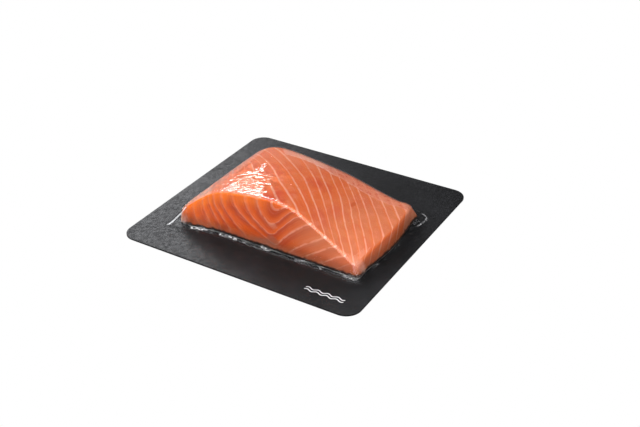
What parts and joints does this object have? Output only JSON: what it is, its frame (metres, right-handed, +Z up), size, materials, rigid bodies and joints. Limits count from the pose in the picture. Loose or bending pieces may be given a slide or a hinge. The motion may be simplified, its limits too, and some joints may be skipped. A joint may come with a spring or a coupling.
{
  "type": "pack of salmon fillet",
  "caption": "Thick fillet of salmon, skin side down on a flat black card board with rounded corners, sealed under tight clear film.",
  "frame": {"origin": "middle of the board's underside", "axes": "+Z up out of the board, +X from the thick back of the fillet to its thin belly edge, +Y from the cut front face to the far one"},
  "size_m": [0.2, 0.1836, 0.0397],
  "materials": {
    "black_card": "black card laminated with clear film, satin",
    "fish_skin": "silver-grey fish skin, moist",
    "salmon_flesh": "moist orange flesh with pale lines of fat",
    "clear_film": "clear glossy film, tight and lightly creased"
  },
  "bodies": {
    "root": {"board": "black_card", "fish_skin": "fish_skin", "fillet": "salmon_flesh", "skin_film": "clear_film"}
  },
  "joints": []
}
